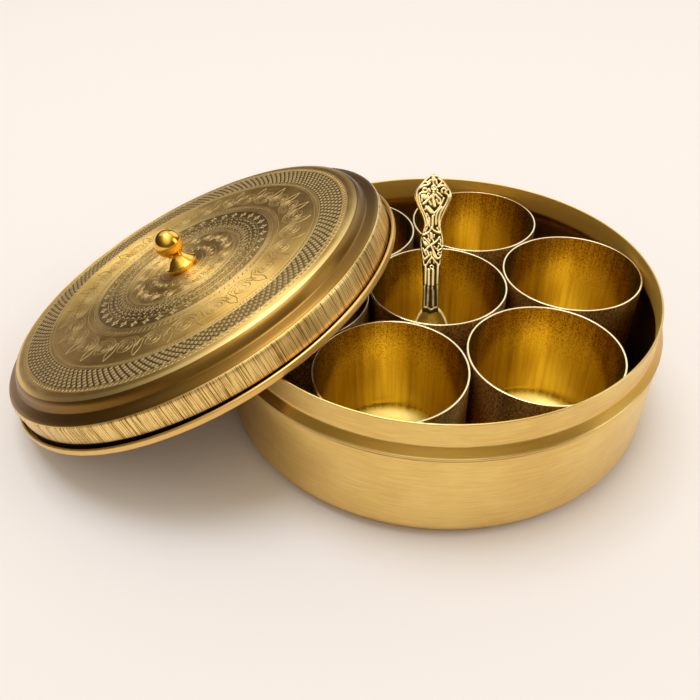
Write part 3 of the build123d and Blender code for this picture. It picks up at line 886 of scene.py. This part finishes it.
def makeHandle():
    smooth = smoothLine([(w, s) for s, w in spoon["outline"]], 6)
    t = np.linspace(0, 1, spoon["rows"])
    # Rows crowd a little towards the handle's round end.
    reach = spoon["start"] + (spoon["end"] - spoon["start"]) * (1 - (1 - t) ** 1.12)
    width = np.interp(reach, [q[1] for q in smooth], [max(q[0], 0) for q in smooth])
    u = np.linspace(-1, 1, spoon["columns"])
    x = width[:, None] * u[None, :] - 0.5 * (1 - t[:, None])
    s = reach[:, None] - 0.9 * np.exp(-(u[None, :] / 0.3) ** 2) * np.exp(-t[:, None] * 60)
    edge = np.sqrt(np.clip(1 - np.abs(u) ** 7, 0, 1))[None, :]
    thick = np.minimum(1, width / 2.5)[:, None]
    rise = reliefRise(x, s)
    dish = 0.12 * np.clip(1 - u[None, :] ** 2, 0, 1)
    top = thick * edge * (spoon["half"] - 0.15 - dish) + spoon["relief"] * rise * edge * thick
    low = -thick * edge * spoon["half"]
    front = np.stack((x, s, top), axis=2)
    back = np.stack((x, s, low), axis=2)[:, 1:-1][:, ::-1]
    tube = np.concatenate((front, back), axis=1)
    worn = np.maximum(1 - np.clip(rise * 1.5, 0, 1), 0.62 * np.clip((54 - s) / 3, 0, 1))
    patina = np.concatenate((worn, np.full(back.shape[:2], 0.35)), axis=1)
    return tube, patina


def makeBowl():
    b = spoon
    rows, columns = 49, 33
    # The bowl is a slice off the side of a long round form: its radius in the middle, how far the cut is
    # from its axis, and half its length.
    girth = (b["bowlWide"] ** 2 + b["bowlDeep"] ** 2) / (2 * b["bowlDeep"])
    up = girth - b["bowlDeep"]
    length = round(b["bowlHalf"] / math.sqrt(1 - (up / girth) ** 2), 2)
    t = np.linspace(0, 1, rows)
    reach = b["bowlMiddle"] - b["bowlHalf"] * np.cos(math.pi * t)
    u = np.sin(np.linspace(-1, 1, columns) * math.pi / 2)
    arcs = []
    for wall, turn in ((0.0, 1), (b["bowlWall"], -1)):
        long, deep = length - wall, girth - wall
        radius = deep * np.sqrt(np.clip(1 - ((reach - b["bowlMiddle"]) / long) ** 2, 0, 1))
        width = np.sqrt(np.clip(radius ** 2 - up ** 2, 0, None))[:, None]
        x = width * u[None, ::turn]
        z = np.where(width > 0, up - np.sqrt(np.clip(radius[:, None] ** 2 - x ** 2, 0, None)), 0)
        arcs.append(np.stack((x, np.broadcast_to(reach[:, None], x.shape), np.minimum(z, 0)), axis=2))
    lips = [(arcs[i][:, -1:] + arcs[1 - i][:, :1]) / 2 + np.array((0, 0, 0.15)) for i in (0, 1)]
    tube = np.concatenate((arcs[0], lips[0], arcs[1], lips[1]), axis=1)
    return tube, np.full(tube.shape[:2], 0.42)


def makeSpoon():
    points, faces, patina = [], [], []
    for tube, dark in (makeHandle(), makeBowl()):
        start = sum(len(part) for part in points)
        rows, size = tube.shape[:2]
        faces += [tuple(start + i for i in face) for face in loftFaces(rows, size)]
        points.append(spoonFrame(tube.reshape(-1, 3)))
        patina.append(dark.reshape(-1))
    mesh = bpy.data.meshes.new("cast_spoon")
    mesh.from_pydata(np.concatenate(points).tolist(), [], faces)
    level = mesh.attributes.new("patina", "FLOAT", "POINT")
    level.data.foreach_set("value", np.concatenate(patina).astype(np.float32))
    form = bmesh.new()
    form.from_mesh(mesh)
    bmesh.ops.remove_doubles(form, verts=form.verts, dist=0.000004)
    bmesh.ops.recalc_face_normals(form, faces=form.faces)
    form.to_mesh(mesh)
    form.free()
    mesh.polygons.foreach_set("use_smooth", [True] * len(mesh.polygons))
    mesh.set_sharp_from_angle(angle=math.radians(70))
    mesh.materials.append(spoonBrass)
    piece = bpy.data.objects.new("cast_spoon", mesh)
    bpy.context.scene.collection.objects.link(piece)
    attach(piece, "spoon_body")
    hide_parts("spoon")


makeSpoon()
print("spoon ready")

# Engraving on the lid's plate. Every ring of it is one motif, repeated round the axis.
# x runs clockwise along the ring, y outwards and z out of the plate.
engraving = {
    "line": 0.54, "deep": 0.17, "seed": 7,
    "chain": {"r": 87.9, "count": 207, "loop": 1.08},
    "net": {"inner": 75.3, "outer": 86.3, "count": 146, "rows": 6, "cell": 0.86, "deep": 0.22},
    "outerRope": {"inner": 72.3, "outer": 74.6, "count": 270},
    "vine": {"r": 62.0, "count": 26, "disc": 3.9, "bandIn": 5.3, "bandOut": 7.15},
    "innerRope": {"inner": 49.8, "outer": 53.0, "count": 118},
    "stars": {"r": 44.6, "count": 38},
    "seeds": {"rows": (40.3, 37.7), "count": 62},
    "weave": {"inner": 32.4, "outer": 36.0, "count": 58},
    "smallRope": {"inner": 29.3, "outer": 31.6, "count": 92},
    "buds": {"r": 23.6, "count": 16},
    "petals": {"r": 15.6, "count": 24},
    "rings": (86.6, 89.15, 75.0, 48.9, 47.9, 42.0, 36.4, 32.0, 28.6, 18.6, 13.2, 11.2),
}


def buildRingTree():
    tree, given = startTree("motifRing", {
        "Motif": "Geometry", "Count": "Int", "Reach": "Float", "Half step": "Float", "Hand shake": "Float",
        "Seed": "Int", "Height": "Float", "Foot": "Vector", "Lean": "Float", "Finish": "Material"}, "Ring")
    circle = addNode(tree, "GeometryNodeMeshCircle",
                     {"Vertices": given.outputs["Count"], "Radius": given.outputs["Reach"]})
    number = addNode(tree, "GeometryNodeInputIndex")
    step = addNode(tree, "ShaderNodeMath", {0: math.tau, 1: given.outputs["Count"]}, operation="DIVIDE")
    quarter = addNode(tree, "ShaderNodeMath", {0: number, 1: step, 2: -math.tau / 4},
                      operation="MULTIPLY_ADD")
    chance = addNode(tree, "FunctionNodeRandomValue", {2: -1.0, 3: 1.0, "Seed": given.outputs["Seed"]},
                     data_type="FLOAT")
    shaken = addNode(tree, "ShaderNodeMath", {0: chance.outputs[1], 1: given.outputs["Hand shake"],
                                              2: quarter}, operation="MULTIPLY_ADD")
    facing = addNode(tree, "ShaderNodeCombineXYZ", {2: shaken})
    copies = addNode(tree, "GeometryNodeInstanceOnPoints",
                     {"Points": circle, "Instance": given.outputs["Motif"], "Rotation": facing})
    half = addNode(tree, "ShaderNodeMath", {0: step, 1: given.outputs["Half step"]},
                   operation="MULTIPLY")
    offset = addNode(tree, "ShaderNodeCombineXYZ", {2: half})
    lift = addNode(tree, "ShaderNodeCombineXYZ", {2: given.outputs["Height"]})
    raised = addNode(tree, "GeometryNodeTransform",
                     {"Geometry": copies, "Translation": lift, "Rotation": offset})
    turned = addNode(tree, "ShaderNodeCombineXYZ", {1: given.outputs["Lean"]})
    endTree(tree, given, raised, turned, "Ring")
    return tree


ringTree = buildRingTree()


class Relief:
    # Low ridges and buttons in millimetres, with the share of dark wax at each point.
    def __init__(self):
        self.points, self.faces, self.wax = [], [], []

    def add(self, points, wax, faces):
        start = len(self.points)
        self.points += points
        self.wax += wax
        self.faces += [tuple(start + i for i in face) for face in faces]

    def stroke(self, line, width=None, height=None, closed=False, taper=False):
        width = width or engraving["line"]
        height = height or engraving["deep"]
        count = len(line)
        points, wax, faces = [], [], []
        for i, (x, y) in enumerate(line):
            before = line[i - 1] if i > 0 or closed else line[i]
            after = line[(i + 1) % count] if i < count - 1 or closed else line[i]
            dx, dy = after[0] - before[0], after[1] - before[1]
            length = math.hypot(dx, dy) or 1.0
            share = max(0.2, math.sin(math.pi * i / (count - 1))) if taper else 1.0
            side = width / 2 * share / length
            points += [(x - dy * side, y + dx * side, -0.02), (x, y, height * share),
                       (x + dy * side, y - dx * side, -0.02)]
            wax += [0.6, 0.0, 0.6]
        for i in range(count if closed else count - 1):
            a, b = 3 * i, 3 * ((i + 1) % count)
            faces += [(a, a + 1, b + 1, b), (a + 1, a + 2, b + 2, b + 1)]
        self.add(points, wax, faces)

    def button(self, x, y, rx, ry, turn=0.0, height=None, sides=8):
        height = height or engraving["deep"]
        c, s = math.cos(turn), math.sin(turn)
        points, wax = [], []
        for share, rise, dark in ((1.0, -0.02, 1.0), (0.62, height * 0.8, 0.1)):
            for i in range(sides):
                a = math.tau * i / sides
                u, v = rx * share * math.cos(a), ry * share * math.sin(a)
                points.append((x + u * c - v * s, y + u * s + v * c, rise))
                wax.append(dark)
        points.append((x, y, height))
        wax.append(0.0)
        faces = []
        for i in range(sides):
            k = (i + 1) % sides
            faces += [(i, k, sides + k, sides + i), (sides + i, sides + k, 2 * sides)]
        self.add(points, wax, faces)

    def mesh(self, name):
        mesh = bpy.data.meshes.new(name)
        mesh.from_pydata([(x * mm, y * mm, z * mm) for x, y, z in self.points], [], self.faces)
        dark = mesh.attributes.new("wax", "FLOAT", "POINT")
        dark.data.foreach_set("value", self.wax)
        return mesh


def loop(x, y, rx, ry, parts, turn=0.0):
    c, s = math.cos(turn), math.sin(turn)
    line = []
    for i in range(parts):
        a = math.tau * i / parts
        u, v = rx * math.cos(a), ry * math.sin(a)
        line.append((x + u * c - v * s, y + u * s + v * c))
    return line


def polarLine(reach, fromR, toR, degrees, parts, start=0.0):
    # Line across a band that runs round by some degrees on the way, seen from the ring at reach.
    line = []
    for i in range(parts + 1):
        share = i / parts
        r = fromR + (toR - fromR) * share
        a = math.radians(start + degrees * (share - 0.5))
        line.append((r * math.sin(a), r * math.cos(a) - reach))
    return line


def ringOf(name, relief, count, reach, finish, shake=0.0, halfStep=0.0):
    piece = runTree(ringTree, name, relief.mesh(name), {
        "Count": count, "Reach": reach * mm, "Half step": halfStep,
        "Hand shake": math.radians(shake), "Seed": engraving["seed"],
        "Height": lid["plateZ"] * mm, "Foot": Vector(lid["foot"]) * mm,
        "Lean": -math.radians(lid["lean"]), "Finish": finish})
    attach(piece, "lid")
    return piece


# Cut brass: matt where the graver tore it, so it stays mid bright whatever the plate mirrors,
# and dark where wax was left in the sunk bands.
def makeCutBrass():
    finish, tree, shader = startFinish("cut brass with dark wax", "E8C884", 0.5)
    wax = addNode(tree, "ShaderNodeAttribute", attribute_name="wax")
    grime = addPatches(tree, 6 * mm)
    dark = addNode(tree, "ShaderNodeMath", {0: grime, 1: 0.4, 2: wax.outputs["Fac"]},
                   operation="MULTIPLY_ADD")
    colour = addColourRange(tree, dark, "EFCC86", "33260F", 0.25, 1.15)
    tree.links.new(colour, shader.inputs["Base Color"])
    rough = addNode(tree, "ShaderNodeMapRange", {0: dark, 1: 0.2, 2: 1.2, 3: 0.34, 4: 0.6})
    tree.links.new(rough.outputs[0], shader.inputs["Roughness"])
    return finish


cutBrass = makeCutBrass()


def makeEngraving():
    e = engraving
    chain = Relief()
    chain.stroke(loop(0, 0, e["chain"]["loop"], e["chain"]["loop"], 10), width=0.42, closed=True)
    ringOf("engraved_chain", chain, e["chain"]["count"], e["chain"]["r"], cutBrass, shake=4)

    # Cells between two sets of slanting cuts: diamonds that stand out of the waxed ground.
    band = e["net"]
    middle = (band["inner"] + band["outer"]) / 2
    pitch = (band["outer"] - band["inner"]) / band["rows"]
    net = Relief()
    for row in range(band["rows"]):
        r = band["inner"] + pitch * (row + 0.5)
        step = math.tau / band["count"]
        turn = 0.5 * step * (row % 2)
        half = band["cell"] * step * r / 2
        net.button(r * math.sin(turn), r * math.cos(turn) - middle, half, band["cell"] * pitch, -turn,
                   height=band["deep"], sides=4)
    ringOf("engraved_net", net, band["count"], middle, cutBrass, shake=0.3)

    for name in ("outerRope", "innerRope", "smallRope"):
        band = e[name]
        middle = (band["inner"] + band["outer"]) / 2
        slant = math.degrees((band["outer"] - band["inner"]) * 0.45 / middle)
        rope = Relief()
        rope.stroke(polarLine(middle, band["inner"] + 0.25, band["outer"] - 0.25, slant, 3),
                    width=0.62, taper=True)
        ringOf("engraved_" + name, rope, band["count"], middle, cutBrass, shake=2)

    rings = Relief()
    step = 10.0
    edges = list(e["rings"])
    for name in ("outerRope", "innerRope", "smallRope"):
        edges += [e[name]["inner"], e[name]["outer"]]
    for r in edges:
        rings.stroke(arc((0, 0), r, 90 - step / 2, 90 + step / 2, 6 if r > 40 else 3), width=0.42)
    ringOf("engraved_rings", rings, round(360 / step), 0.0, cutBrass)

    v = e["vine"]
    vine = Relief()
    vine.stroke(loop(0, 0, v["disc"], v["disc"], 20), closed=True)
    vine.stroke(loop(0, 0, v["disc"] * 0.45, v["disc"] * 0.45, 10), closed=True, width=0.36)
    for i in range(8):
        a = math.tau * (i + 0.3) / 8
        vine.button(2.85 * math.cos(a), 2.85 * math.sin(a), 0.42, 0.3, a, height=0.08, sides=6)
    for r in (v["bandIn"], v["bandOut"]):
        vine.stroke(arc((0, 0), r, 172, 322, 18))
    for i in range(8):
        a = math.radians(180 + 18 * i)
        vine.stroke([(5.6 * math.cos(a), 5.6 * math.sin(a)),
                     (6.85 * math.cos(a + 0.05), 6.85 * math.sin(a + 0.05))], width=0.3, height=0.07)
    # The band runs out into a leaf on the clockwise side.
    leafSide = smoothLine([(5.4, -3.3), (5.7, -0.6), (5.5, 2.2), (6.3, 4.9), (7.9, 7.9)], 4)
    leafBack = smoothLine([(7.9, 7.9), (9.3, 4.6), (9.5, 1.6), (8.4, -1.6), (6.3, -4.2)], 4)
    vine.stroke(leafSide)
    vine.stroke(leafBack)
    ringOf("engraved_vine", vine, v["count"], v["r"], cutBrass, shake=1.0)

    star = Relief()
    for i in range(4):
        a = math.tau * i / 4
        star.button(1.35 * math.cos(a), 1.35 * math.sin(a), 1.25, 0.72, a, height=0.16)
        b = a + math.tau / 8
        star.button(1.0 * math.cos(b), 1.0 * math.sin(b), 0.7, 0.4, b, height=0.12, sides=6)
    ringOf("engraved_stars", star, e["stars"]["count"], e["stars"]["r"], cutBrass, shake=5)

    for row, r in enumerate(e["seeds"]["rows"]):
        seed = Relief()
        seed.button(0, 0, 0.95, 1.0, 0.0, height=0.14, sides=6)
        seed.button(1.85, 0.55, 0.4, 0.8, 0.4, height=0.1, sides=5)
        ringOf("engraved_seeds_%d" % (row + 1), seed, e["seeds"]["count"], r, cutBrass, shake=6,
               halfStep=0.5 * row)

    band = e["weave"]
    middle = (band["inner"] + band["outer"]) / 2
    across = math.degrees((band["outer"] - band["inner"]) / middle)
    weave = Relief()
    for side in (-1, 1):
        weave.stroke(polarLine(middle, band["inner"], band["outer"], side * across, 3), width=0.6)
    weave.button(1.9, 0, 0.6, 0.8, 0.0, height=0.12, sides=6)
    ringOf("engraved_weave", weave, band["count"], middle, cutBrass, shake=1.0)

    bud = Relief()
    for r, parts in ((2.5, 14), (1.2, 8)):
        bud.stroke(loop(0, 0, r, r, parts), closed=True, width=0.45)
    for i in range(6):
        a = math.tau * i / 6
        bud.button(1.85 * math.cos(a), 1.85 * math.sin(a), 0.5, 0.38, a, sides=5)
    for r in (3.45, 4.35):
        bud.stroke(arc((0, 0), r, -12, 192, 16), width=0.45)
    bud.stroke(smoothLine([(4.5, -1.6), (4.65, 0.6), (4.6, 2.6)], 3), width=0.5, taper=True)
    ringOf("engraved_buds", bud, e["buds"]["count"], e["buds"]["r"], cutBrass, shake=2)

    petal = Relief()
    petal.stroke(loop(0, 0, 1.35, 2.0, 12), closed=True, width=0.4)
    petal.button(0, 0.2, 0.45, 1.1, 0.0, sides=6)
    ringOf("engraved_petals", petal, e["petals"]["count"], e["petals"]["r"], cutBrass, shake=2)


makeEngraving()
print("engraving ready")
